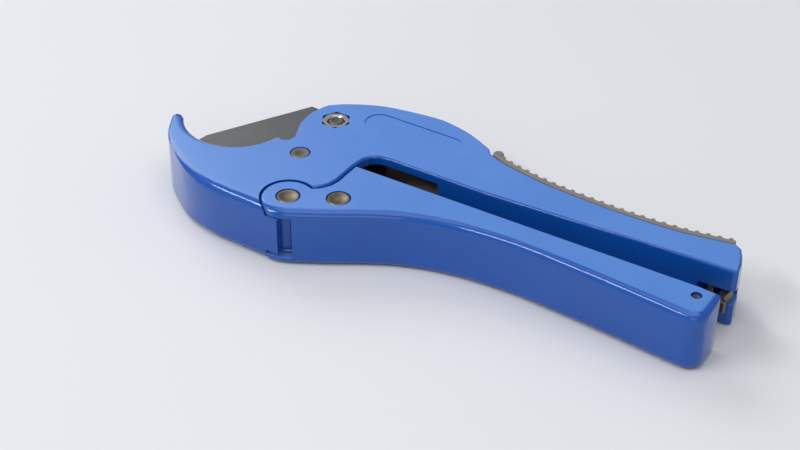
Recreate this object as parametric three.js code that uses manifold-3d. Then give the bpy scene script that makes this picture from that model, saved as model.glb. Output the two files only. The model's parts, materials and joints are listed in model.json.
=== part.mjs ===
// Ratchet cutter for plastic pipe, lying on its side.
// Millimetres. +X runs from the hook jaw to the handle end, +Y to the back of the
// fixed handle, +Z through the thickness. z = 0 is the side it lies on.
import * as THREE from 'three';
import { mergeVertices } from 'three/addons/utils/BufferGeometryUtils.js';
import Module from 'manifold-3d';

const wasm = await Module();
wasm.setup();

// ---------------------------------------------------------------- driving dimensions
const THICKNESS = 24;
const MID = THICKNESS / 2;
const GAP = 0.3;
const SIDES = 24;

const BLADE_PIVOT = new THREE.Vector2(-56.7, 18.9);
const STOP_PIN = new THREE.Vector2(-55.2, -7.3);
const HANDLE_PIVOT = new THREE.Vector2(-42.6, -33.0);
const PAWL_PIVOT = new THREE.Vector2(-26.4, -24.5);
const LATCH_PIVOT = new THREE.Vector2(105.2, -7.3);
const CATCH_PIN = new THREE.Vector2(103.0, 13.8);
const CENTRE = new THREE.Vector2(0.2, -0.63);

// The pipe seat: its middle, its round wall and the wide shallow chamfer round both edges.
const SEAT = {
  x: -91.3, y: 2.5, radius: 21.3, from: -11.5, to: -144, chamferWidth: 3.2, chamferDepth: 1.8,
};
const EDGE_ROUNDING = 1.2;
const OUTER_ROUNDING = 3.6;
const HANDLE_ROUNDING = 3.4;
const WALL = 3.2;
const EAR_RADIUS = 10;
const BOSS_RADIUS = 6.4;
const BOSS_LOW = 4.6;
const BOSS_HIGH = THICKNESS - BOSS_LOW;
const GAP_EDGE = { left: -3.2, right: -1.7 };
const HANDLE_TIP = 112.8;

const BLADE_THICKNESS = 2.4;
const BLADE_REACH = 59.5;
const BLADE_HUB = 16;
const TOOTH_TIP = 19;
const TOOTH_COUNT = 12;
const TOOTH_PITCH = 6;
const EDGE_ANGLE = 242;
const SPINE_ANGLE = 60.4;
const SPINE_OFFSET = 29.1;
const SPINE_TO_TIP = 42.3;
const SPINE_TO_REAR = 3.6;
const TIP_CLIP_ANGLE = 216;
const SLOT_HEIGHT = 3.2;
const RICASSO_REACH = 28;
const HEEL_ANGLE = 264.2;
const GRIND_WIDTH = 9;
const EDGE_LAND = 0.12;

const BOLT_SHANK = 2.95;
const BOLT_HEAD = 5.2;
const BOLT_HEAD_HIGH = 3.8;
const BOLT_HOLE = 3.25;
const BUSH_RADIUS = 5;
const NUT_CORNER = 5.6;
const NUT_LOW = 20.9;
const NUT_HIGH = THICKNESS - 0.2;
const STOP_PIN_RADIUS = 3.6;
const STOP_PIN_LOW = 1.9;
const RIVET_SHANK = 3.2;
const RIVET_HEAD = 4.3;
const RIVET_HEAD_DEPTH = 1.3;
const RIVET_HOLE = RIVET_SHANK + GAP;
const SUNK = 0.1;

const PAWL_THICKNESS = 4;
const PAWL_SLOT = 5.4;
const TIP_ANGLE = -1.5;
const TIP_RADIUS = 19.6;

const GRIP_THICKNESS = 2.4;
const GRIP_EDGE = 0.4;
const RIB_HEIGHT = 0.8;
const RIB_COUNT = 25;

const LATCH_THICKNESS = 5;
const LATCH_SLOT = 6.2;
const LATCH_PIN_RADIUS = 1.65;
const CATCH_PIN_RADIUS = 1.5;
const CATCH_PIN_HIGH = 20.4;

// ---------------------------------------------------------------- finishes
const finish = (color, roughness, metalness) => () =>
  new THREE.MeshStandardMaterial({ color, roughness, metalness });
const bluePaint = finish(0x3463b8, 0.3, 0.1);
const greyRubber = finish(0x4a4a4c, 0.75, 0);
const bladeSteel = finish(0x8c8c88, 0.35, 0.9);
const darkSteel = finish(0x4c4a46, 0.5, 0.9);
const chrome = finish(0xd6d4cf, 0.15, 1);
const zinc = finish(0xa08a5c, 0.4, 0.9);

// ---------------------------------------------------------------- geometry helpers
const radians = THREE.MathUtils.degToRad;

function polar(centre, radius, degrees) {
  const angle = radians(degrees);
  return new THREE.Vector2(
    centre.x + radius * Math.cos(angle),
    centre.y + radius * Math.sin(angle),
  );
}

function arc(centre, radius, from, to, step = 6) {
  const count = Math.max(1, Math.ceil(Math.abs(to - from) / step));
  return Array.from({ length: count + 1 }, (_, i) =>
    polar(centre, radius, from + ((to - from) * i) / count));
}

function curve(points, divisions) {
  const spline = new THREE.SplineCurve(points.map(([x, y]) => new THREE.Vector2(x, y)));
  return spline.getPoints(divisions);
}

const at = (x, y) => new THREE.Vector2(x, y);

function toSolid(geometry) {
  const bare = geometry.clone();
  bare.deleteAttribute('normal');
  bare.deleteAttribute('uv');
  const merged = mergeVertices(bare, 1e-4);
  return new wasm.Manifold(new wasm.Mesh({
    numProp: 3,
    vertProperties: new Float32Array(merged.attributes.position.array),
    triVerts: new Uint32Array(merged.index.array),
  }));
}

function toGeometry(solid) {
  const mesh = solid.getMesh();
  const geometry = new THREE.BufferGeometry();
  geometry.setAttribute('position', new THREE.BufferAttribute(new Float32Array(mesh.vertProperties), 3));
  geometry.setIndex(new THREE.BufferAttribute(new Uint32Array(mesh.triVerts), 1));
  return geometry;
}

function join(first, ...others) {
  return others.reduce((sum, other) => sum.add(other), first);
}

function cut(first, ...others) {
  return others.reduce((rest, other) => rest.subtract(other), first);
}

// A flat-faced plate of an outline, from z = low to z = high.
function plate(points, low, high) {
  const geometry = new THREE.ExtrudeGeometry(new THREE.Shape(points), {
    depth: high - low,
    bevelEnabled: false,
    steps: 1,
  });
  return toSolid(geometry.translate(0, 0, low));
}

// The same plate with its top and bottom edges rounded.
function roundedPlate(points, low, high, rounding, segments = 3) {
  const geometry = new THREE.ExtrudeGeometry(new THREE.Shape(points), {
    depth: high - low - 2 * rounding,
    bevelEnabled: true,
    bevelThickness: rounding,
    bevelSize: rounding,
    bevelOffset: -rounding,
    bevelSegments: segments,
    steps: 1,
  });
  return toSolid(geometry.translate(0, 0, low + rounding));
}

const disc = (centre, radius, low, high, step = 360 / SIDES) =>
  plate(arc(centre, radius, 0, 360 - step, step), low, high);

const block = (x0, x1, y0, y1, low, high) =>
  plate([at(x0, y0), at(x1, y0), at(x1, y1), at(x0, y1)], low, high);

function sector(centre, radius, from, to, low, high) {
  return plate([at(centre.x, centre.y), ...arc(centre, radius, from, to)], low, high);
}

// A turned piece: pairs of radius and height round the vertical line through a centre.
function turned(centre, profile, sides = SIDES) {
  const points = profile.map(([radius, height]) => new THREE.Vector2(radius, height));
  const geometry = new THREE.LatheGeometry(points, sides);
  geometry.rotateX(Math.PI / 2);
  return toSolid(geometry.translate(centre.x, centre.y, 0));
}

const washer = (centre, inner, outer, low, high) =>
  turned(centre, [[inner, low], [outer, low], [outer, high], [inner, high], [inner, low]]);

// ---------------------------------------------------------------- casting
const BACK_POINTS = [
  [5, 31.2], [12.9, 28], [28, 24.8], [43, 23.3], [63, 22.5], [83.5, 23.3], [98.7, 25.8], [105.2, 27.2],
];
const backEdge = curve(BACK_POINTS, 30);

const hookOuter = curve([
  [-112.3, -12.2], [-105.4, -23.5], [-95, -32], [-85, -38.3], [-75, -41.6], [-64, -42.7], [-52, -42.9],
], 26);

function castingOutline() {
  const lowerEdge = curve([
    [-25, 6.8], [-6, 6.9], [12.9, 6.9], [43.2, 8.3], [73.5, 10.3], [93.6, 11.2], [110.4, 11.8],
  ], 16);
  const topEdge = curve([
    [3.2, 33.6], [-7.3, 38.6], [-17.4, 41.1], [-25.4, 41.6], [-42.6, 39.1], [-52.7, 35.6], [-61.2, 30.8],
  ], 18);
  const frontEdge = curve([
    [-65.8, 26.8], [-67.8, 21], [-68.3, 15], [-67.2, 9.4], [-65, 4.2], [-63.9, 0.6], [-64.4, -1.9],
  ], 10);
  const seat = arc(SEAT, SEAT.radius, SEAT.from, SEAT.to, 5);
  return [
    ...hookOuter,
    at(-40.9, -42.9),
    at(HANDLE_PIVOT.x, HANDLE_PIVOT.y),
    at(-38.1, -23.9),
    at(-36.3, -21.6),
    at(-34.3, -18.7),
    at(-33.5, -14.9),
    at(-33.5, -3.8),
    at(-32.9, 1.4),
    at(-31.6, 4.4),
    at(-29, 6.2),
    ...lowerEdge,
    at(112, 12.9),
    at(111.3, 17.4),
    at(109.8, 21.5),
    at(107.9, 25.4),
    ...backEdge.toReversed(),
    ...topEdge,
    ...frontEdge,
    at(-66.2, -3),
    at(-68, -2.4),
    ...seat,
    at(-110.3, -9),
    at(-111.8, -9.9),
  ];
}

// A block that rounds the outer edge of the jaw: little at the tip, most beside the ears.
function outerEdgeRounding() {
  const edge = hookOuter.map((point, i) => {
    const clear = (OUTER_ROUNDING - EDGE_ROUNDING) * Math.max(0, 1 - (1.6 * i) / hookOuter.length);
    return at(point.x - clear, point.y - clear * 0.6);
  });
  const outline = [at(-125, 10), ...edge, at(-30, -42.9), at(125, -42.9), at(125, 55), at(-125, 55)];
  return roundedPlate(outline, 0, THICKNESS, OUTER_ROUNDING, 5);
}

// The boss that stands between the ears of the moving handle.
function pivotBoss() {
  const root = sector(HANDLE_PIVOT, EAR_RADIUS + 1.5, 72, 280, BOSS_LOW, BOSS_HIGH);
  return join(
    disc(HANDLE_PIVOT, BOSS_RADIUS, BOSS_LOW, BOSS_HIGH),
    root.intersect(plate(castingOutline(), 0, THICKNESS)),
  );
}

// A flat cone over the pipe's place, which leaves a wide chamfer on one edge of the seat.
function seatChamfer(low, lowRadius, highRadius) {
  const high = low + 2 * SEAT.chamferDepth;
  return turned(SEAT, [[0, low], [lowRadius, low], [highRadius, high], [0, high]], 72);
}

// The pocket in the boss for the handle spring, with a way out for its leg.
function springPocket() {
  const round = disc(HANDLE_PIVOT, 5.4, 8.6, THICKNESS - 8.6);
  const leg = block(HANDLE_PIVOT.x, -34, -35, -31, 9.4, THICKNESS - 9.4);
  return join(round, leg);
}

// The thin slot that the blade swings in, from its stop in the hook to fully open.
function bladeSlot() {
  const low = MID - SLOT_HEIGHT / 2;
  const high = MID + SLOT_HEIGHT / 2;
  return join(
    disc(BLADE_PIVOT, TOOTH_TIP + 1, low, high),
    sector(BLADE_PIVOT, BLADE_REACH + 1.7, 120, EDGE_ANGLE + 1.6, low, high),
    sector(BLADE_PIVOT, 30.5, 120, 267, low, high),
    block(-80, -40.6, BLADE_PIVOT.y, 50, low, high),
  );
}

// The hollow behind the blade where the pawl works, open to the gap between the handles.
function pawlHollow() {
  const low = MID - PAWL_SLOT / 2;
  const hollow = plate([
    at(-37, 4), at(-30, -3), at(-3.5, -3), at(-3.5, 26),
    at(-9, 31), at(-22, 33.5), at(-33, 31), at(-37, 25),
  ], 3.5, THICKNESS - 3.5);
  const path = plate([
    at(-33, -22), at(-46.5, 8), at(-44, 24), at(-30, 24), at(-24, -22),
  ], low, THICKNESS - low);
  return join(hollow, path);
}

// The holes for the blade's bolt, spring, bolt head and nut.
function bladePivotHoles() {
  return join(
    disc(BLADE_PIVOT, 8.6, 4.8, MID),
    disc(BLADE_PIVOT, BOLT_HOLE, -1, THICKNESS + 1),
    disc(BLADE_PIVOT, BOLT_HEAD + 0.6, -1, BOLT_HEAD_HIGH + 0.4),
    disc(BLADE_PIVOT, NUT_CORNER + 0.4, 19.6, THICKNESS + 1, 60),
  );
}

// The slot in the handle end that the latch hooks into, and the hole for its catch pin.
function latchPlace() {
  const slot = block(98.5, 120, 5, 20, MID - LATCH_SLOT / 2, MID + LATCH_SLOT / 2);
  return join(slot, disc(CATCH_PIN, CATCH_PIN_RADIUS + GAP, -1, CATCH_PIN_HIGH + 0.4, 20));
}

function frameCasting() {
  const top = THICKNESS + 1;
  const wide = SEAT.radius + 2 * SEAT.chamferWidth;
  const shell = roundedPlate(castingOutline(), 0, THICKNESS, EDGE_ROUNDING)
    .intersect(outerEdgeRounding());
  const body = join(cut(shell, disc(HANDLE_PIVOT, EAR_RADIUS + 0.5, -1, top, 10)), pivotBoss());
  return cut(
    body,
    seatChamfer(-SEAT.chamferDepth, wide, SEAT.radius),
    seatChamfer(THICKNESS - SEAT.chamferDepth, SEAT.radius, wide),
    bladeSlot(),
    pawlHollow(),
    bladePivotHoles(),
    disc(STOP_PIN, STOP_PIN_RADIUS + GAP, STOP_PIN_LOW - GAP, top),
    springPocket(),
    disc(HANDLE_PIVOT, RIVET_HOLE, BOSS_LOW - 1, BOSS_HIGH + 1),
    latchPlace(),
  );
}

// ---------------------------------------------------------------- grip strip
function offsetCurve(points, distance) {
  return points.map((point, i) => {
    const before = points[Math.max(0, i - 1)];
    const after = points[Math.min(points.length - 1, i + 1)];
    const along = after.clone().sub(before).normalize();
    return point.clone().add(at(-along.y, along.x).multiplyScalar(distance));
  });
}

function gripInsert() {
  const fine = curve(BACK_POINTS, RIB_COUNT * 4).slice(1, -1);
  const inner = offsetCurve(fine, GAP);
  const outer = offsetCurve(fine, GRIP_THICKNESS).map((point, i, all) => {
    const rib = i > 0 && i < all.length - 1 ? RIB_HEIGHT * Math.abs(Math.sin((Math.PI * i) / 4)) : 0;
    return at(point.x, point.y + rib);
  });
  const strip = plate([...inner, ...outer.toReversed()], GRIP_EDGE, THICKNESS - GRIP_EDGE);
  const knob = disc(at(7, 33.1), 2.2, GRIP_EDGE, THICKNESS - GRIP_EDGE, 30);
  const casting = plate([
    at(-5, 20), at(-5, 36), at(3.4, 34), at(5.4, 31.4), ...inner.slice(0, 12), at(16, 20),
  ], 0, THICKNESS);
  return cut(join(strip, knob), casting);
}

// ---------------------------------------------------------------- blade
function bladeOutline() {
  const spineFoot = polar(BLADE_PIVOT, SPINE_OFFSET, SPINE_ANGLE + 90);
  const rearCorner = polar(spineFoot, SPINE_TO_REAR, SPINE_ANGLE);
  const tipCorner = polar(spineFoot, SPINE_TO_TIP, SPINE_ANGLE + 180);
  const teeth = [];
  for (let tooth = 0; tooth < TOOTH_COUNT; tooth += 1) {
    const start = tooth * TOOTH_PITCH;
    teeth.push(polar(BLADE_PIVOT, TOOTH_TIP, start));
    teeth.push(polar(BLADE_PIVOT, BLADE_HUB, start + TOOTH_PITCH - 1));
  }
  return [
    ...teeth,
    ...arc(BLADE_PIVOT, BLADE_HUB, 72, 100),
    rearCorner,
    tipCorner,
    ...arc(BLADE_PIVOT, BLADE_REACH, TIP_CLIP_ANGLE, EDGE_ANGLE, 4),
    ...arc(BLADE_PIVOT, RICASSO_REACH, EDGE_ANGLE, HEEL_ANGLE),
    polar(BLADE_PIVOT, TOOTH_TIP, HEEL_ANGLE),
    ...arc(BLADE_PIVOT, BLADE_HUB, 272, 354),
  ];
}

// A ground flat that brings one side of the blade down to its cutting edge.
function edgeGrind(side) {
  const depth = BLADE_THICKNESS / 2;
  const wedge = new THREE.Shape([
    at(1, side * EDGE_LAND),
    at(-GRIND_WIDTH, side * depth),
    at(-GRIND_WIDTH, side * (depth + 1)),
    at(1, side * (depth + 1)),
  ]);
  const geometry = new THREE.ExtrudeGeometry(wedge, { depth: BLADE_REACH, bevelEnabled: false });
  geometry.rotateX(Math.PI / 2);
  geometry.rotateZ(radians(EDGE_ANGLE + 90));
  const start = polar(BLADE_PIVOT, RICASSO_REACH + 0.6, EDGE_ANGLE);
  return toSolid(geometry.translate(start.x, start.y, MID));
}

function blade() {
  const low = MID - BLADE_THICKNESS / 2;
  const blank = plate(bladeOutline(), low, low + BLADE_THICKNESS);
  const bushHole = disc(BLADE_PIVOT, BUSH_RADIUS + GAP, 0, THICKNESS);
  return cut(blank, bushHole, edgeGrind(1), edgeGrind(-1));
}

// ---------------------------------------------------------------- blade pivot
function bladeBolt() {
  const top = THICKNESS - SUNK;
  return turned(BLADE_PIVOT, [
    [0, 0.5], [BOLT_HEAD - 0.6, 0.5], [BOLT_HEAD, 1.1], [BOLT_HEAD, BOLT_HEAD_HIGH],
    [BOLT_SHANK, BOLT_HEAD_HIGH], [BOLT_SHANK, top - 0.5], [BOLT_SHANK - 0.5, top], [0, top],
  ]);
}

// A hexagon nut with its upper corners turned off.
function bladeNut() {
  const prism = disc(BLADE_PIVOT, NUT_CORNER, NUT_LOW, NUT_HIGH, 60);
  const cone = turned(BLADE_PIVOT, [
    [0, NUT_LOW - 1], [NUT_CORNER + 1, NUT_LOW - 1], [NUT_CORNER + 1, NUT_HIGH - 1],
    [NUT_CORNER - 0.7, NUT_HIGH], [0, NUT_HIGH],
  ]);
  return cut(prism.intersect(cone), disc(BLADE_PIVOT, BOLT_HOLE, 0, THICKNESS + 1));
}

// A coil spring round a vertical pin, with a short straight leg at each end.
function coilSpring(centre, { radius, wire, low, high, turns, start, firstLeg, lastLeg }) {
  const perTurn = 14;
  const count = Math.round(turns * perTurn);
  const points = [];
  for (let i = 0; i <= count; i += 1) {
    const spot = polar(centre, radius, start + (360 * i) / perTurn);
    points.push(new THREE.Vector3(spot.x, spot.y, low + ((high - low) * i) / count));
  }
  const end = start + (360 * count) / perTurn;
  const legBefore = polar(points[0], firstLeg, start - 90);
  const legAfter = polar(points[count], lastLeg, end + 90);
  points.unshift(new THREE.Vector3(legBefore.x, legBefore.y, low));
  points.push(new THREE.Vector3(legAfter.x, legAfter.y, high));
  const path = new THREE.CatmullRomCurve3(points, false, 'centripetal');
  const section = new THREE.Shape(arc({ x: 0, y: 0 }, wire / 2, 0, 300, 60));
  return toSolid(new THREE.ExtrudeGeometry(section, {
    steps: count + 8,
    bevelEnabled: false,
    extrudePath: path,
  }));
}

// ---------------------------------------------------------------- moving handle
const handleFront = curve([
  [-34, -39.7], [-25, -34.6], [-15, -28.4], [-5, -22.9], [5, -19.1], [15, -16.6],
  [25, -15.1], [40, -14.2], [55, -14.7], [75, -16], [95, -17.7], [106, -18.5],
], 30);
const outerWall = [...arc(HANDLE_PIVOT, EAR_RADIUS, 64, 299, 9), ...handleFront];

const handleEnd = arc({ x: 106.6, y: -12.2 }, 6.3, -75, -15, 20);

function handleOutline() {
  return [
    at(-33, GAP_EDGE.left),
    at(-33, -15),
    at(-33.8, -18.9),
    at(-35.9, -22.1),
    ...outerWall,
    ...handleEnd,
    at(HANDLE_TIP, -7.8),
    at(111.9, -2.4),
    at(104, GAP_EDGE.right),
  ];
}

// The channel inside the handle, open to the gap and round the pivot.
function handleChannel() {
  const web = offsetCurve(outerWall, WALL).filter((point) => point.x > -35.9 && point.y < -10);
  return plate([
    at(-60, 6),
    at(-60, -50),
    at(-36, -50),
    at(-36, -37.2),
    ...web,
    at(108.5, -14.6),
    at(109.6, -12.5),
    at(109.6, 6),
  ], WALL, THICKNESS - WALL);
}

// The hole for a rivet through both sides of the handle, with a seat for each head.
function rivetHole(centre) {
  const seat = RIVET_HEAD_DEPTH + GAP;
  return join(
    disc(centre, RIVET_HOLE, -1, THICKNESS + 1),
    disc(centre, RIVET_HEAD + GAP, -1, seat),
    disc(centre, RIVET_HEAD + GAP, THICKNESS - seat, THICKNESS + 1),
  );
}

// A block that rounds the outer edge of the handle well over, and dies away round the ear.
function handleEdgeRounding() {
  const ear = arc(HANDLE_PIVOT, EAR_RADIUS, 209, 299, 9).map((point, i, all) => {
    const clear = (HANDLE_ROUNDING - EDGE_ROUNDING) * Math.max(0, 1 - (1.3 * i) / all.length);
    return at(point.x - clear, point.y - clear);
  });
  const outline = [at(-70, 20), at(-70, -33), ...ear, ...handleFront, ...handleEnd, at(HANDLE_TIP, 20)];
  return roundedPlate(outline, 0, THICKNESS, HANDLE_ROUNDING, 5);
}

function movingHandle() {
  const shell = roundedPlate(handleOutline(), 0, THICKNESS, EDGE_ROUNDING).intersect(handleEdgeRounding());
  return cut(
    shell,
    handleChannel(),
    rivetHole(HANDLE_PIVOT),
    rivetHole(PAWL_PIVOT),
    disc(LATCH_PIVOT, LATCH_PIN_RADIUS + GAP, -1, THICKNESS + 1, 20),
  );
}

// A rivet with a flat head sunk in each side of the handle.
function rivet(centre) {
  const bevel = 0.4;
  const top = THICKNESS - SUNK;
  const lowHead = RIVET_HEAD_DEPTH;
  const highHead = THICKNESS - RIVET_HEAD_DEPTH;
  return turned(centre, [
    [0, SUNK], [RIVET_HEAD - bevel, SUNK], [RIVET_HEAD, SUNK + bevel], [RIVET_HEAD, lowHead],
    [RIVET_SHANK, lowHead], [RIVET_SHANK, highHead], [RIVET_HEAD, highHead],
    [RIVET_HEAD, top - bevel], [RIVET_HEAD - bevel, top], [0, top],
  ]);
}

// ---------------------------------------------------------------- pawl
const pawlLow = MID - PAWL_THICKNESS / 2;
const pawlHigh = MID + PAWL_THICKNESS / 2;

function pawl() {
  const tip = polar(BLADE_PIVOT, TIP_RADIUS, TIP_ANGLE);
  const arm = plate([
    ...arc(PAWL_PIVOT, 6, 190, 385, 15),
    at(-22.4, -10),
    at(-27, 6),
    at(-32.4, 17),
    at(tip.x + 1.8, tip.y + 0.7),
    at(tip.x, tip.y),
    at(tip.x + 0.9, tip.y - 4.5),
    at(-34.6, 4),
    at(-32.6, -10),
  ], pawlLow, pawlHigh);
  return cut(arm, disc(PAWL_PIVOT, RIVET_HOLE, 0, THICKNESS));
}

// ---------------------------------------------------------------- latch
function latchHook() {
  const low = MID - LATCH_THICKNESS / 2;
  const reach = 25.4;
  const lipUnder = 23.2;
  const outline = [
    [7, 66], [9, 70], [13.4, 72], [14, 66], [15.2, 66], [16.2, 74], [22.5, 76.5],
    [reach, 80], [reach, 86], [lipUnder, 90], [lipUnder, 84], [18, 83], [9, 90],
  ].map(([radius, angle]) => polar(LATCH_PIVOT, radius, angle));
  const body = plate([...arc(LATCH_PIVOT, 3.5, 130, 400, 15), ...outline], low, low + LATCH_THICKNESS);
  return cut(body, disc(LATCH_PIVOT, LATCH_PIN_RADIUS + 0.35, 0, THICKNESS, 20));
}

const plainPin = (centre, radius, low, high) =>
  turned(centre, [[0, low], [radius - 0.2, low], [radius, low + 0.2], [radius, high - 0.2],
    [radius - 0.2, high], [0, high]], 18);

// ---------------------------------------------------------------- assembly
const cutter = new THREE.Group();
cutter.position.set(-CENTRE.x, -CENTRE.y, 0);

function add(name, solid, material) {
  const mesh = new THREE.Mesh(toGeometry(solid), material());
  mesh.name = name;
  cutter.add(mesh);
}

add('frame_casting', frameCasting(), bluePaint);
add('grip_insert', gripInsert(), greyRubber);
add('stop_pin', plainPin(STOP_PIN, STOP_PIN_RADIUS, STOP_PIN_LOW, THICKNESS - SUNK), darkSteel);

add('blade', blade(), bladeSteel);
add('blade_bush', washer(BLADE_PIVOT, BOLT_HOLE, BUSH_RADIUS, MID - 1.3, MID + 1.3), zinc);
add('blade_bolt', bladeBolt(), darkSteel);
add('blade_washer', washer(BLADE_PIVOT, BOLT_HOLE, 4.9, 19.9, NUT_LOW - GAP), chrome);
add('blade_nut', bladeNut(), chrome);
add('blade_spring', coilSpring(BLADE_PIVOT, {
  radius: 7, wire: 1.3, low: 5.8, high: 9.4, turns: 2.5, start: 0, firstLeg: 1.2, lastLeg: 1.2,
}), darkSteel);

add('moving_handle', movingHandle(), bluePaint);
add('handle_rivet', rivet(HANDLE_PIVOT), zinc);
add('handle_washer_lower', washer(
  HANDLE_PIVOT, RIVET_HOLE, BOSS_RADIUS, WALL + GAP, BOSS_LOW - GAP,
), chrome);
add('handle_washer_upper', washer(
  HANDLE_PIVOT, RIVET_HOLE, BOSS_RADIUS, BOSS_HIGH + GAP, THICKNESS - WALL - GAP,
), chrome);
add('handle_spring', coilSpring(HANDLE_PIVOT, {
  radius: 4.3, wire: 1.1, low: 9.5, high: 14.5, turns: 2.75, start: -90, firstLeg: 1.2, lastLeg: 1.2,
}), darkSteel);

add('pawl', pawl(), darkSteel);
add('pawl_rivet', rivet(PAWL_PIVOT), zinc);
add('pawl_spacer_lower', washer(PAWL_PIVOT, RIVET_HOLE, 4.4, WALL + GAP, pawlLow - GAP), zinc);
add('pawl_spacer_upper', washer(
  PAWL_PIVOT, RIVET_HOLE, 4.4, pawlHigh + GAP, THICKNESS - WALL - GAP,
), zinc);
add('pawl_spring', coilSpring(PAWL_PIVOT, {
  radius: 5.3, wire: 0.9, low: 15, high: 18.6, turns: 3.25, start: 200, firstLeg: 1.2, lastLeg: 1.2,
}), darkSteel);

add('latch_hook', latchHook(), zinc);
add('latch_pin', plainPin(LATCH_PIVOT, LATCH_PIN_RADIUS, 0.6, THICKNESS - 0.8), darkSteel);
add('latch_catch_pin', plainPin(CATCH_PIN, CATCH_PIN_RADIUS, 0.5, CATCH_PIN_HIGH), zinc);
add('latch_spring', coilSpring(LATCH_PIVOT, {
  radius: 2.9, wire: 0.7, low: 4.4, high: 7.4, turns: 3.5, start: 90, firstLeg: 1, lastLeg: 1,
}), darkSteel);

export default cutter;
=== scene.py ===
"""Ratchet cutter for plastic pipe: the finished pieces, their materials and the studio."""

import json
import math

import bpy
from mathutils import Matrix, Vector


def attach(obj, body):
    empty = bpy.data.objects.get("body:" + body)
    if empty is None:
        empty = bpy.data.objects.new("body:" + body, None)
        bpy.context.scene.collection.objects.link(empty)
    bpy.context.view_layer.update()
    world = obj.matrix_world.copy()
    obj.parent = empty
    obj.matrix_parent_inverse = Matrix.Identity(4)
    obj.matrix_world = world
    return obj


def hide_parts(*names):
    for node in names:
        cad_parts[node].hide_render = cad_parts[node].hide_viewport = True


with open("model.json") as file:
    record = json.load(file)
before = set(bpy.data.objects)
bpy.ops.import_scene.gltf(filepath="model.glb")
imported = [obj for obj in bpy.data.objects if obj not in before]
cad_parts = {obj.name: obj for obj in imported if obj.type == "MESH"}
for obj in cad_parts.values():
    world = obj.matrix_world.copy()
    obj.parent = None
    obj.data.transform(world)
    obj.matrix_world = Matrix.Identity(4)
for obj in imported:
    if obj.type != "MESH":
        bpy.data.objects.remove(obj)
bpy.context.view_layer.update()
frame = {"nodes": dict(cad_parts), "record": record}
NODES = frame["nodes"]
BODY_OF = {
    node: body for body, nodes in frame["record"]["behaviour"]["bodies"].items() for node in nodes
}

# ------------------------------------------------------------------ sizes, in millimetres
MM = 0.001
CENTRE_X = 0.2
CENTRE_Y = -0.63
THICKNESS = 24.0
ROUND = 64
MERGE_DISTANCE = 0.004 * MM
FLAT_ANGLE = math.radians(0.4)
HEAD_ANGLE = math.radians(25)
SOFT_ANGLE = math.radians(32)
EDGE_ANGLE = math.radians(45)
WIRE_ANGLE = math.radians(60)

BLADE_PIVOT = (-56.7, 18.9)
STOP_PIN = (-55.2, -7.3)
HANDLE_PIVOT = (-42.6, -33.0)
PAWL_PIVOT = (-26.4, -24.5)
LATCH_PIVOT = (105.2, -7.3)
CATCH_PIN = (103.0, 13.8)

GRIP_BACK = [
    (5, 31.2), (12.9, 28), (28, 24.8), (43, 23.3),
    (63, 22.5), (83.5, 23.3), (98.7, 25.8), (105.2, 27.2),
]
GRIP_CLEARANCE = 0.3
GRIP_THICKNESS = 2.4
GRIP_EDGE = 0.4
GRIP_ROUNDING = 0.45
RIDGE_PITCH = 4.05
RIDGE_RADIUS = 0.95
RIDGE_SETBACK = 0.08
END_STOP = (7.4, 33.0)
END_STOP_RADIUS = 2.0
END_STOP_SETBACK = 0.3

POCKET_DEPTH = 0.35
POCKET_LEFT = -47.4
POCKET_RIGHT = -5.6
POCKET_LOW = 21.0
POCKET_HIGH = 32.5
POCKET_CORNER = 5.5
POCKET_OVERSHOOT = 1

CAST_ROUNDING = 0.22
STEEL_ROUNDING = 0.35
BLADE_ROUNDING = 0.08
RING_ROUNDING = 0.1

# The pawl's hollow, where the casting is bare: two opposite corners.
HOLLOW_LOW = (-37.2, 7.6, 3.3)
HOLLOW_HIGH = (-3.3, 33.7, 20.7)

LENS = 72.9
CAMERA_SPOT = (245, -418.5, 357)
CAMERA_AIM = (-0.4286, 0.6886, -0.5850)
CAMERA_ROLL = math.radians(0.4)


def place(x, y, z=0.0):
    """A point of the cutter's drawing, in millimetres, as metres in the frame."""
    return Vector(((x - CENTRE_X) * MM, (y - CENTRE_Y) * MM, z * MM))


# ------------------------------------------------------------------ modelling
def clear_selection():
    if bpy.context.mode != "OBJECT":
        bpy.ops.object.mode_set(mode="OBJECT")
    bpy.ops.object.select_all(action="DESELECT")


def take(piece):
    clear_selection()
    piece.select_set(True)
    bpy.context.view_layer.objects.active = piece


def settle(piece):
    """Puts a piece's place and turn into its mesh."""
    take(piece)
    bpy.ops.object.transform_apply(location=True, rotation=True, scale=True)


def apply_modifier(piece, kind, name, **settings):
    take(piece)
    modifier = piece.modifiers.new(name, kind)
    for key, value in settings.items():
        setattr(modifier, key, value)
    bpy.ops.object.modifier_apply(modifier=modifier.name)


def tidy_mesh(piece):
    take(piece)
    bpy.ops.object.mode_set(mode="EDIT")
    bpy.ops.mesh.select_all(action="SELECT")
    bpy.ops.mesh.remove_doubles(threshold=MERGE_DISTANCE)
    bpy.ops.mesh.normals_make_consistent(inside=False)
    bpy.ops.object.mode_set(mode="OBJECT")


def smooth(piece, angle=SOFT_ANGLE):
    take(piece)
    bpy.ops.object.shade_smooth_by_angle(angle=angle)


def break_edges(piece, width, segments=2):
    """Rounds every sharp edge a little and keeps the flat faces flat."""
    apply_modifier(
        piece, "BEVEL", "broken_edges", width=width * MM, segments=segments,
        limit_method="ANGLE", angle_limit=SOFT_ANGLE, use_clamp_overlap=True, miter_outer="MITER_ARC",
    )
    smooth(piece, EDGE_ANGLE)
    apply_modifier(piece, "WEIGHTED_NORMAL", "flat_faces", keep_sharp=True, weight=60)


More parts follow.
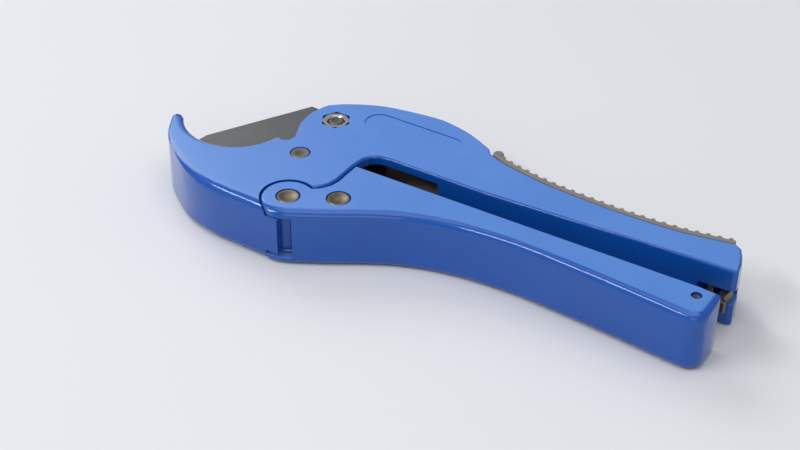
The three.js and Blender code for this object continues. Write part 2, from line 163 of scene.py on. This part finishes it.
def copy_of(node, name):
    """A merged copy of a CAD node's mesh, with its flat faces whole again."""
    piece = bpy.data.objects.new(name, NODES[node].data.copy())
    bpy.context.scene.collection.objects.link(piece)
    piece.data.name = name
    piece.data.materials.clear()
    take(piece)
    bpy.ops.object.mode_set(mode="EDIT")
    bpy.ops.mesh.select_all(action="SELECT")
    bpy.ops.mesh.remove_doubles(threshold=MERGE_DISTANCE)
    bpy.ops.mesh.dissolve_limited(angle_limit=FLAT_ANGLE)
    bpy.ops.object.mode_set(mode="OBJECT")
    return piece


def turned(name, centre, profile, sides=ROUND):
    """A turned piece: a disc drawn up ring by ring through radius and height pairs."""
    clear_selection()
    radius, height = profile[0]
    bpy.ops.mesh.primitive_circle_add(
        vertices=sides, radius=radius * MM, fill_type="NGON", location=place(*centre, height),
    )
    piece = bpy.context.object
    piece.name = name
    bpy.ops.object.mode_set(mode="EDIT")
    bpy.ops.mesh.select_all(action="SELECT")
    for next_radius, next_height in profile[1:]:
        rise = (next_height - height) * MM
        bpy.ops.mesh.extrude_region_move(TRANSFORM_OT_translate={"value": (0, 0, rise)})
        ratio = next_radius / radius
        bpy.ops.transform.resize(
            value=(ratio, ratio, 1), center_override=place(*centre, next_height),
        )
        radius, height = next_radius, next_height
    bpy.ops.object.mode_set(mode="OBJECT")
    settle(piece)
    tidy_mesh(piece)
    smooth(piece)
    return piece


def outline_prism(name, points, low, high):
    """A flat plate with the given outline: a disc whose rim is pulled to it, then drawn up."""
    clear_selection()
    bpy.ops.mesh.primitive_circle_add(vertices=len(points), radius=MM, fill_type="NGON")
    piece = bpy.context.object
    piece.name = name
    for vertex, (x, y) in zip(piece.data.vertices, points):
        vertex.co = place(x, y, low)
    bpy.ops.object.mode_set(mode="EDIT")
    bpy.ops.mesh.select_all(action="SELECT")
    bpy.ops.mesh.extrude_region_move(TRANSFORM_OT_translate={"value": (0, 0, (high - low) * MM)})
    bpy.ops.object.mode_set(mode="OBJECT")
    tidy_mesh(piece)
    return piece


def carve(piece, tool, operation="DIFFERENCE"):
    apply_modifier(piece, "BOOLEAN", "carved", operation=operation, object=tool, solver="EXACT")
    bpy.data.objects.remove(tool)


def join(name, pieces):
    clear_selection()
    for piece in pieces:
        piece.select_set(True)
    bpy.context.view_layer.objects.active = pieces[0]
    bpy.ops.object.join()
    pieces[0].name = name
    return pieces[0]


def spline(points, steps):
    """Points along a smooth curve through a few given ones."""
    ends = [points[0], *points, points[-1]]
    line = []
    for a, b, c, d in zip(ends, ends[1:], ends[2:], ends[3:]):
        for i in range(steps):
            t = i / steps
            line.append(tuple(
                0.5 * (2 * q + (r - p) * t + (2 * p - 5 * q + 4 * r - s) * t ** 2
                       + (3 * q - p - 3 * r + s) * t ** 3)
                for p, q, r, s in zip(a, b, c, d)
            ))
    line.append(points[-1])
    return line


def offset(line, distance):
    """The line moved sideways, to its left."""
    moved = []
    for i, (x, y) in enumerate(line):
        before = line[max(0, i - 1)]
        after = line[min(len(line) - 1, i + 1)]
        along = Vector((after[0] - before[0], after[1] - before[1])).normalized()
        moved.append((x - along.y * distance, y + along.x * distance))
    return moved


def rounded_box(x0, x1, y0, y1, corner, steps=8):
    """The outline of a box with round corners."""
    points = []
    for x, y, start in ((x1, y1, 0), (x0, y1, 90), (x0, y0, 180), (x1, y0, 270)):
        cx = x - corner if x == x1 else x + corner
        cy = y - corner if y == y1 else y + corner
        for i in range(steps + 1):
            angle = math.radians(start + 90 * i / steps)
            points.append((cx + corner * math.cos(angle), cy + corner * math.sin(angle)))
    return points


# ------------------------------------------------------------------ shader expressions
class Value:
    """A number socket that can be used in sums."""

    def __init__(self, finish, socket):
        self.finish = finish
        self.socket = socket

    def _math(self, operation, first, second):
        return self.finish.node("ShaderNodeMath", {"operation": operation}, {0: first, 1: second})

    def __add__(self, other):
        return self._math("ADD", self, other)

    __radd__ = __add__

    def __mul__(self, other):
        return self._math("MULTIPLY", self, other)

    __rmul__ = __mul__

    def __sub__(self, other):
        return self._math("SUBTRACT", self, other)

    def __rsub__(self, other):
        return self._math("SUBTRACT", other, self)

    def clamped(self):
        return self.finish.node(
            "ShaderNodeMath", {"operation": "MULTIPLY", "use_clamp": True}, {0: self, 1: 1.0})


class Finish:
    """One material, built node by node on Object coordinates."""

    def __init__(self, name, **constants):
        self.material = bpy.data.materials.new(name)
        self.material.use_nodes = True
        self.tree = self.material.node_tree
        self.shader = self.tree.nodes["Principled BSDF"]
        for key, value in constants.items():
            self.shader.inputs[key.replace("_", " ")].default_value = value
        self.place = self.node("ShaderNodeTexCoord", {}, {}, "Object")

    def node(self, kind, settings, inputs, output=0):
        node = self.tree.nodes.new(kind)
        for key, value in settings.items():
            setattr(node, key, value)
        for key, value in inputs.items():
            if isinstance(value, Value):
                self.tree.links.new(value.socket, node.inputs[key])
            else:
                node.inputs[key].default_value = value
        return Value(self, node.outputs[output])

    def noise(self, scale, detail=3.0, roughness=0.55):
        """Noise whose size is given as grains per metre."""
        values = {"Vector": self.place, "Scale": scale, "Detail": detail, "Roughness": roughness}
        return self.node("ShaderNodeTexNoise", {"noise_dimensions": "3D"}, values)

    def grains(self, scale):
        """The distance to the nearest grain, at so many grains per metre."""
        values = {"Vector": self.place, "Scale": scale}
        return self.node("ShaderNodeTexVoronoi", {"feature": "F1"}, values)

    def band(self, value, low, high):
        """0 below low, 1 above high."""
        return self.node("ShaderNodeMapRange", {"clamp": True}, {0: value, 1: low, 2: high})

    def mix(self, factor, first, second):
        return self.node(
            "ShaderNodeMix", {"data_type": "RGBA"}, {0: factor, 6: first, 7: second}, 2)

    def facing_up(self):
        """1 on faces that look straight up or down, 0 on upright walls."""
        normal = self.node("ShaderNodeNewGeometry", {}, {}, "Normal")
        parts = self.node("ShaderNodeSeparateXYZ", {}, {0: normal}, "Z")
        return self.node("ShaderNodeMath", {"operation": "ABSOLUTE"}, {0: parts})

    def inside_box(self, low, high):
        """1 within a box of the drawing, in millimetres, 0 outside."""
        inside = 1.0
        corners = zip("XYZ", place(*low), place(*high))
        for axis, start, end in corners:
            along = self.node("ShaderNodeSeparateXYZ", {}, {0: self.place}, axis)
            above = self.node("ShaderNodeMath", {"operation": "GREATER_THAN"}, {0: along, 1: start})
            below = self.node("ShaderNodeMath", {"operation": "LESS_THAN"}, {0: along, 1: end})
            inside = above * below * inside
        return inside

    def edge_wear(self, low, high):
        """1 on edges that stick out, 0 on flat and hollow places."""
        point = self.node("ShaderNodeNewGeometry", {}, {}, "Pointiness")
        return self.band(point, low, high)

    def colour(self, value):
        self.tree.links.new(value.socket, self.shader.inputs["Base Color"])

    def rough(self, value):
        self.tree.links.new(value.clamped().socket, self.shader.inputs["Roughness"])

    def coat(self, value):
        self.tree.links.new(value.clamped().socket, self.shader.inputs["Coat Weight"])

    def bump(self, height, depth, strength=1.0):
        bumped = self.node(
            "ShaderNodeBump", {}, {"Height": height, "Distance": depth * MM, "Strength": strength})
        self.tree.links.new(bumped.socket, self.shader.inputs["Normal"])


def blue_coat():
    """Glossy blue stoved paint, more satin on the flat sides and painted a lighter blue there as a
    painted sheen, bare in the hollow.
    """
    finish = Finish("blue_coat", Metallic=0.0, Coat_Roughness=0.08, Specular_IOR_Level=0.32)
    peel = finish.noise(420, 2.0)
    cloud = finish.noise(28, 3.0)
    speck = 1 - finish.band(finish.grains(900), 0.02, 0.05)
    lift = finish.noise(60, 4.0)
    flat = finish.band(finish.facing_up(), 0.93, 0.995)
    wall = finish.mix(cloud, (0.003, 0.066, 0.34, 1), (0.006, 0.090, 0.42, 1))
    # side is a painted sheen: a lighter blue put on faces that look up, where the top catches the
    # light; wall is the deep blue of the paint itself.
    side = finish.mix(cloud, (0.075, 0.205, 0.56, 1), (0.100, 0.240, 0.62, 1))
    body = finish.mix(flat * (0.86 + 0.14 * lift), wall, side)
    dusted = finish.mix(0.3 * speck * finish.band(lift, 0.5, 0.62), body, (0.30, 0.38, 0.62, 1))
    bare = finish.inside_box(HOLLOW_LOW, HOLLOW_HIGH)
    raw = finish.mix(lift, (0.33, 0.27, 0.21, 1), (0.46, 0.39, 0.31, 1))
    finish.colour(finish.mix(bare, dusted, raw))
    finish.rough(0.20 + 0.16 * flat + 0.10 * (cloud - 0.5) + 0.12 * speck + 0.4 * bare)
    finish.coat(0.5 - 0.44 * flat)
    finish.bump(peel + 0.35 * cloud, 0.035, 0.35)
    return finish.material


def grey_rubber():
    finish = Finish("grey_rubber", Metallic=0.0, Specular_IOR_Level=0.35)
    grain = finish.grains(2600)
    cloud = finish.noise(90, 4.0)
    worn = finish.edge_wear(0.50, 0.56)
    base = finish.mix(cloud, (0.125, 0.115, 0.100, 1), (0.185, 0.172, 0.152, 1))
    finish.colour(finish.mix(0.5 * worn, base, (0.30, 0.28, 0.25, 1)))
    finish.rough(0.62 + 0.18 * cloud + 0.1 * grain)
    finish.bump(grain + 0.4 * cloud, 0.05, 0.5)
    return finish.material


def blade_steel():
    """Ground steel: fine lines across the blade, a light haze of oil."""
    finish = Finish("blade_steel", Metallic=1.0)
    turn = finish.node(
        "ShaderNodeMapping", {}, {"Vector": finish.place, "Rotation": (0, 0, math.radians(-62))})
    lines = finish.node(
        "ShaderNodeMapping", {}, {"Vector": turn, "Scale": (0.02, 1, 1)})
    ground = finish.node(
        "ShaderNodeTexNoise", {}, {"Vector": lines, "Scale": 5200, "Detail": 3.0, "Roughness": 0.6})
    film = finish.noise(70, 4.0)
    base = finish.mix(ground, (0.082, 0.084, 0.086, 1), (0.155, 0.157, 0.158, 1))
    finish.colour(finish.mix(0.35 * film, base, (0.115, 0.11, 0.10, 1)))
    finish.rough(0.34 + 0.16 * ground + 0.10 * film)
    finish.bump(ground, 0.012, 0.6)
    return finish.material


def dark_steel():
    finish = Finish("dark_steel", Metallic=1.0)
    scale = finish.noise(260, 4.0)
    worn = finish.edge_wear(0.51, 0.58)
    base = finish.mix(scale, (0.066, 0.057, 0.047, 1), (0.15, 0.13, 0.108, 1))
    finish.colour(finish.mix(0.6 * worn, base, (0.32, 0.30, 0.27, 1)))
    finish.rough(0.40 + 0.2 * scale)
    finish.bump(scale, 0.02, 0.5)
    return finish.material


def chrome_plate():
    finish = Finish("chrome_plate", Metallic=1.0)
    smear = finish.noise(150, 3.0)
    fine = finish.noise(2200, 2.0)
    finish.colour(finish.mix(smear, (0.50, 0.485, 0.46, 1), (0.68, 0.665, 0.64, 1)))
    finish.rough(0.10 + 0.12 * smear + 0.05 * fine)
    finish.bump(fine, 0.006, 0.4)
    return finish.material


def zinc_plate():
    """Yellow passivated zinc, blotchy and slightly greasy."""
    finish = Finish("zinc_plate", Metallic=1.0)
    blotch = finish.noise(330, 4.0, roughness=0.65)
    tint = finish.noise(120, 2.0)
    base = finish.mix(blotch, (0.10, 0.078, 0.055, 1), (0.27, 0.215, 0.155, 1))
    finish.colour(finish.mix(0.5 * tint, base, (0.125, 0.115, 0.105, 1)))
    finish.rough(0.28 + 0.22 * blotch)
    finish.bump(blotch, 0.02, 0.5)
    return finish.material


FINISHES = {
    "blue_coat": blue_coat(),
    "grey_rubber": grey_rubber(),
    "blade_steel": blade_steel(),
    "dark_steel": dark_steel(),
    "chrome_plate": chrome_plate(),
    "zinc_plate": zinc_plate(),
}


def fit(piece, node, slot):
    """A finished piece stands for its CAD node, in its finish and on its body."""
    piece.data.materials.clear()
    piece.data.materials.append(FINISHES[slot])
    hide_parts(node)
    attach(piece, BODY_OF[node])


# ------------------------------------------------------------------ the castings
def casting():
    piece = copy_of("frame_casting", "casting")
    outline = rounded_box(POCKET_LEFT, POCKET_RIGHT, POCKET_LOW, POCKET_HIGH, POCKET_CORNER)
    for low, high in (
        (THICKNESS - POCKET_DEPTH, THICKNESS + POCKET_OVERSHOOT),
        (-POCKET_OVERSHOOT, POCKET_DEPTH),
    ):
        carve(piece, outline_prism("pocket", outline, low, high))
    break_edges(piece, CAST_ROUNDING)
    fit(piece, "frame_casting", "blue_coat")


def handle():
    piece = copy_of("moving_handle", "handle")
    break_edges(piece, CAST_ROUNDING)
    fit(piece, "moving_handle", "blue_coat")


# ------------------------------------------------------------------ the grip strip
def grip_strip():
    line = spline(GRIP_BACK, 8)[1:-1]
    inner = offset(line, GRIP_CLEARANCE)
    outer = offset(line, GRIP_THICKNESS)
    strip = outline_prism("grip_strip", inner + outer[::-1], GRIP_EDGE, THICKNESS - GRIP_EDGE)
    break_edges(strip, GRIP_ROUNDING, segments=3)
    raised = [end_stop()]
    travelled = RIDGE_PITCH
    for (x0, y0), (x1, y1) in zip(outer, outer[1:]):
        length = math.hypot(x1 - x0, y1 - y0)
        while travelled < length:
            share = travelled / length
            raised.append(ridge((x0 + (x1 - x0) * share, y0 + (y1 - y0) * share)))
            travelled += RIDGE_PITCH
        travelled -= length
    carve(strip, join("raised", raised), "UNION")
    tidy_mesh(strip)
    smooth(strip, EDGE_ANGLE)
    fit(strip, "grip_insert", "grey_rubber")


def ridge(spot):
    """One rounded ridge across the strip."""
    half = THICKNESS / 2 - GRIP_EDGE - RIDGE_SETBACK
    clear_selection()
    bpy.ops.mesh.primitive_cylinder_add(
        vertices=20, radius=RIDGE_RADIUS * MM, depth=2 * half * MM,
        location=place(*spot, THICKNESS / 2))
    piece = bpy.context.object
    settle(piece)
    apply_modifier(piece, "BEVEL", "round_ends", width=0.3 * MM, segments=2, limit_method="ANGLE")
    return piece


def end_stop():
    """The thick rounded end of the strip beside the head."""
    clear_selection()
    bpy.ops.mesh.primitive_cylinder_add(
        vertices=32, radius=END_STOP_RADIUS * MM,
        depth=(THICKNESS - 2 * GRIP_EDGE - END_STOP_SETBACK) * MM,
        location=place(*END_STOP, THICKNESS / 2))
    piece = bpy.context.object
    settle(piece)
    apply_modifier(piece, "BEVEL", "round_ends", width=0.5 * MM, segments=3, limit_method="ANGLE")
    return piece


# ------------------------------------------------------------------ blade, pawl and latch
def edged_copy(node, name, width, slot):
    """A CAD piece with its edges broken."""
    piece = copy_of(node, name)
    break_edges(piece, width)
    fit(piece, node, slot)


def sprung_wire(node, name):
    """A coil spring in round wire."""
    piece = copy_of(node, name)
    apply_modifier(piece, "SUBSURF", "round_wire", levels=2, render_levels=2)
    smooth(piece, WIRE_ANGLE)
    fit(piece, node, "dark_steel")


# ------------------------------------------------------------------ fasteners
def hexagon_nut():
    """A nut with its corners turned off and a countersunk bore."""
    corner = 5.6
    bore_radius = 3.25
    low = 20.9
    high = THICKNESS - 0.2
    piece = turned("nut", BLADE_PIVOT, [(corner, low), (corner, high)], sides=6)
    dome = turned("dome", BLADE_PIVOT, [
        (corner - 0.6, low - 0.01), (corner + 0.3, low + 0.6),
        (corner + 0.3, high - 0.6), (corner - 0.3, high + 0.01),
    ])
    carve(piece, dome, "INTERSECT")
    bore = turned("bore", BLADE_PIVOT, [
        (bore_radius, low - 1), (bore_radius, high - 0.5),
        (bore_radius + 0.5, high + 0.15), (bore_radius + 0.5, high + 1),
    ])
    carve(piece, bore)
    break_edges(piece, 0.12)
    fit(piece, "blade_nut", "chrome_plate")


def bolt():
    """A bolt with a dished head, threaded where the nut sits."""
    shank = 2.95
    head = 5.2
    top = THICKNESS - 0.1
    first_thread = 20.3
    thread_pitch = 0.8
    threads = []
    for i in range(4):
        z = first_thread + thread_pitch * i
        threads += [(shank - 0.25, z), (shank, z + 0.3), (shank, z + 0.5)]
    profile = [
        (2.0, 1.3), (2.0, 0.5), (head - 0.5, 0.5), (head, 1.0), (head, 3.8),
        (shank, 3.8), (shank, 20.1),
        *threads, (shank - 0.5, top), (1.6, top), (1.3, top - 0.25),
    ]
    piece = turned("bolt", BLADE_PIVOT, profile)
    break_edges(piece, 0.06, segments=1)
    fit(piece, "blade_bolt", "dark_steel")


def headed_rivet(node, name, centre):
    """A rivet with a turned ring and a shallow dish in each head."""
    shank = 3.2
    head = 4.3
    side = [
        (1.3, 0.45), (2.3, 0.35), (2.9, 0.1), (3.9, 0.1),
        (head, 0.45), (head, 1.3), (shank, 1.3),
    ]
    other = [(radius, THICKNESS - height) for radius, height in side[::-1]]
    piece = turned(name, centre, side + other)
    smooth(piece, HEAD_ANGLE)
    fit(piece, node, "zinc_plate")


def plain_pin(node, name, centre, radius, low, high, slot):
    """A pin with broken edges and a small centre mark on top."""
    edge = 0.3
    profile = [
        (radius - edge, low), (radius, low + edge), (radius, high - edge), (radius - edge, high),
        (radius * 0.45, high), (radius * 0.3, high - 0.12),
    ]
    piece = turned(name, centre, profile)
    fit(piece, node, slot)


casting()
handle()
grip_strip()
edged_copy("blade", "blade_plate", BLADE_ROUNDING, "blade_steel")
edged_copy("pawl", "pawl_arm", STEEL_ROUNDING, "dark_steel")
edged_copy("latch_hook", "latch", STEEL_ROUNDING, "zinc_plate")
for washer_node, washer_slot in (
    ("blade_bush", "zinc_plate"),
    ("blade_washer", "chrome_plate"),
    ("handle_washer_lower", "chrome_plate"),
    ("handle_washer_upper", "chrome_plate"),
    ("pawl_spacer_lower", "zinc_plate"),
    ("pawl_spacer_upper", "zinc_plate"),
):
    edged_copy(washer_node, washer_node + "_ring", RING_ROUNDING, washer_slot)
for spring_node in ("blade_spring", "handle_spring", "pawl_spring", "latch_spring"):
    sprung_wire(spring_node, spring_node + "_wire")
hexagon_nut()
bolt()
headed_rivet("handle_rivet", "handle_rivet_turned", HANDLE_PIVOT)
headed_rivet("pawl_rivet", "pawl_rivet_turned", PAWL_PIVOT)
plain_pin("stop_pin", "stop_pin_turned", STOP_PIN, 3.6, 1.9, THICKNESS - 0.1, "dark_steel")
plain_pin("latch_pin", "latch_pin_turned", LATCH_PIVOT, 1.65, 0.6, THICKNESS - 0.8, "dark_steel")
plain_pin("latch_catch_pin", "catch_pin_turned", CATCH_PIN, 1.5, 0.5, 20.4, "zinc_plate")


# ------------------------------------------------------------------ studio
def floor():
    """A pale sheet under the cutter."""
    clear_selection()
    bpy.ops.mesh.primitive_plane_add(size=6, location=(0, 0, 0))
    sheet = bpy.context.object
    sheet.name = "floor"
    finish = Finish("pale_floor", Metallic=0.0, Specular_IOR_Level=0.2)
    cloud = finish.noise(3, 2.0)
    finish.colour(finish.mix(cloud, (0.675, 0.675, 0.695, 1), (0.715, 0.715, 0.735, 1)))
    finish.rough(0.7 + 0.1 * cloud)
    sheet.data.materials.append(finish.material)


def lamp(name, location, target, size, power, colour=(1, 1, 1)):
    data = bpy.data.lights.new(name, "AREA")
    data.shape = "RECTANGLE"
    data.size, data.size_y = size
    data.energy = power
    data.color = colour
    light = bpy.data.objects.new(name, data)
    light.location = location
    light.rotation_euler = (Vector(target) - Vector(location)).to_track_quat("-Z", "Y").to_euler()
    bpy.context.scene.collection.objects.link(light)


def studio():
    lamp("window", (-1.47, 0.70, 1.15), (0, 0, 0), (1.3, 1.0), 15, (0.97, 0.98, 1.0))
    lamp("ceiling", (0.2, -0.2, 1.6), (0, 0, 0), (1.4, 1.4), 10)
    lamp("strip", (-0.62, -0.85, 1.0), (0, 0, 0), (0.9, 0.10), 7)
    lamp("front_fill", (0.8, -1.4, 0.7), (0, 0, 0), (1.0, 0.8), 3, (1.0, 0.99, 0.97))
    world = bpy.data.worlds.new("studio")
    world.use_nodes = True
    background = world.node_tree.nodes["Background"]
    background.inputs["Color"].default_value = (0.86, 0.89, 0.95, 1)
    background.inputs["Strength"].default_value = 0.42
    bpy.context.scene.world = world


def camera():
    data = bpy.data.cameras.new("camera")
    data.sensor_width = 36
    data.lens = LENS
    data.clip_start = 0.01
    viewer = bpy.data.objects.new("camera", data)
    bpy.context.scene.collection.objects.link(viewer)
    forward = Vector(CAMERA_AIM).normalized()
    level = forward.cross(Vector((0, 0, 1))).normalized()
    right = level * math.cos(CAMERA_ROLL) + level.cross(forward) * math.sin(CAMERA_ROLL)
    up = right.cross(forward)
    turn = Matrix((right, up, -forward)).transposed().to_4x4()
    viewer.matrix_world = Matrix.Translation(place(*CAMERA_SPOT)) @ turn
    bpy.context.scene.camera = viewer


floor()
studio()
camera()
bpy.context.scene.view_settings.view_transform = "Standard"
